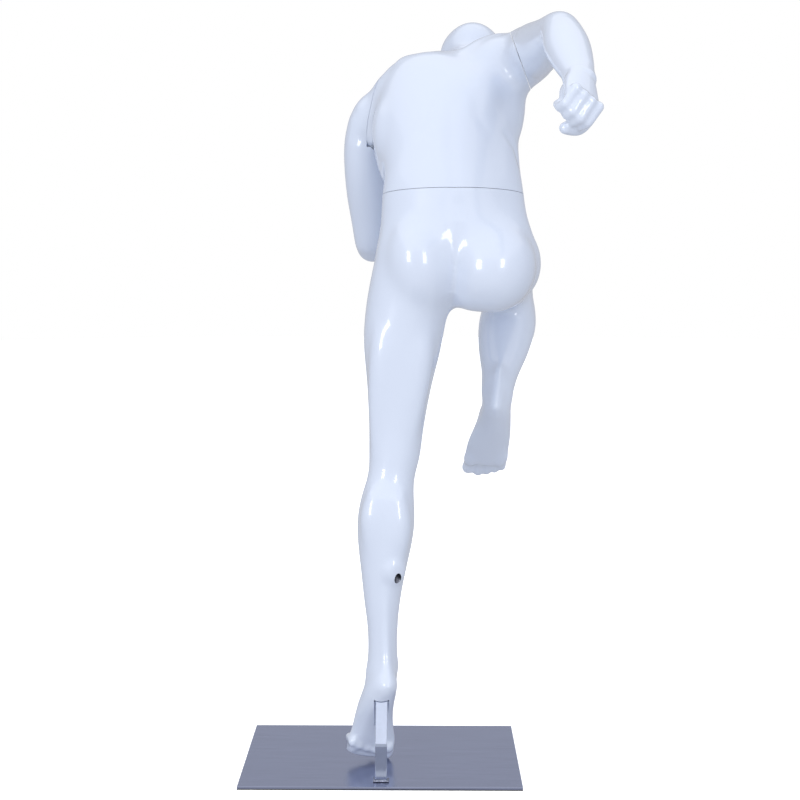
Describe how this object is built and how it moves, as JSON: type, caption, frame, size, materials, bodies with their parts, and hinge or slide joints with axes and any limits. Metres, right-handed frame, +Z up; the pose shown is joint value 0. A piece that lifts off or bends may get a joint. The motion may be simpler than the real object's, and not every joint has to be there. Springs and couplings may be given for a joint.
{
  "type": "body opponent mannequin",
  "caption": "Full-body display mannequin in a sprinting pose on one foot, gloss white shells with keyed waist, hip and arm joints, held by a bent post on a flat steel base.",
  "frame": {"origin": "centre of the underside of the base, on the floor", "axes": "+Z up, +Y the way the figure runs, +X to the figure's right"},
  "size_m": [0.7142, 1.1111, 1.6729],
  "materials": {
    "gloss_white": "gloss",
    "brushed_steel": "brushed",
    "chrome": "polished",
    "fitting_steel": "satin",
    "zinc_steel": "satin",
    "board": "matte",
    "foam": "matte"
  },
  "bodies": {
    "base": {"base_liner": "foam", "base_plate": "brushed_steel", "foot_post": "chrome", "post_weld": "chrome"},
    "lower_body": {"lower_body_shell": "gloss_white", "foot_socket": "fitting_steel", "lock_screw": "fitting_steel", "calf_socket": "fitting_steel", "waist_fixed_board": "board", "waist_socket_disc": "fitting_steel", "waist_screw_1": "zinc_steel", "waist_screw_2": "zinc_steel", "waist_screw_3": "zinc_steel", "hip_fixed_board": "board", "hip_socket_disc": "fitting_steel", "hip_screw_1": "zinc_steel", "hip_screw_2": "zinc_steel", "hip_screw_3": "zinc_steel"},
    "right_leg": {"right_leg_shell": "gloss_white", "hip_loose_board": "board", "hip_key_disc": "fitting_steel", "hip_bolt": "zinc_steel"},
    "waist_key": {"waist_key_disc": "fitting_steel", "waist_bolt": "zinc_steel"},
    "torso": {"torso_shell": "gloss_white", "waist_loose_board": "board", "right_arm_fixed_board": "board", "right_arm_socket_disc": "fitting_steel", "right_arm_screw_1": "zinc_steel", "right_arm_screw_2": "zinc_steel", "right_arm_screw_3": "zinc_steel", "left_arm_fixed_board": "board", "left_arm_socket_disc": "fitting_steel", "left_arm_screw_1": "zinc_steel", "left_arm_screw_2": "zinc_steel", "left_arm_screw_3": "zinc_steel"},
    "right_arm_key": {"right_arm_key_disc": "fitting_steel", "right_arm_bolt": "zinc_steel"},
    "right_arm": {"right_arm_shell": "gloss_white", "right_arm_loose_board": "board"},
    "left_arm_key": {"left_arm_key_disc": "fitting_steel", "left_arm_bolt": "zinc_steel"},
    "left_arm": {"left_arm_shell": "gloss_white", "left_arm_loose_board": "board"}
  },
  "joints": [
    {"name": "body_lift", "type": "slide", "parent": "base", "child": "lower_body", "axis": [0, 0.5446, 0.8387], "range_m": [0, 0.12]},
    {"name": "leg_pull", "type": "slide", "parent": "lower_body", "child": "right_leg", "axis": [0.1499, 0.9846, 0.09], "range_m": [0, 0.08]},
    {"name": "torso_lift", "type": "slide", "parent": "lower_body", "child": "waist_key", "axis": [0, 0.1451, 0.9894], "range_m": [0, 0.1]},
    {"name": "waist_turn", "type": "hinge", "parent": "waist_key", "child": "torso", "pos_m": [0.155, 0.078, 1.243], "axis": [0, 0.1451, 0.9894], "range_deg": [-20, 5]},
    {"name": "right_arm_pull", "type": "slide", "parent": "torso", "child": "right_arm_key", "axis": [0.9312, -0.1001, 0.3505], "range_m": [0, 0.08]},
    {"name": "right_arm_turn", "type": "hinge", "parent": "right_arm_key", "child": "right_arm", "pos_m": [0.306, 0.203, 1.552], "axis": [0.9312, -0.1001, 0.3505], "range_deg": [-30, 30]},
    {"name": "left_arm_pull", "type": "slide", "parent": "torso", "child": "left_arm_key", "axis": [-0.915, 0.366, 0.17], "range_m": [0, 0.08]},
    {"name": "left_arm_turn", "type": "hinge", "parent": "left_arm_key", "child": "left_arm", "pos_m": [-0.012, 0.268, 1.432], "axis": [-0.915, 0.366, 0.17], "range_deg": [-30, 10]}
  ]
}
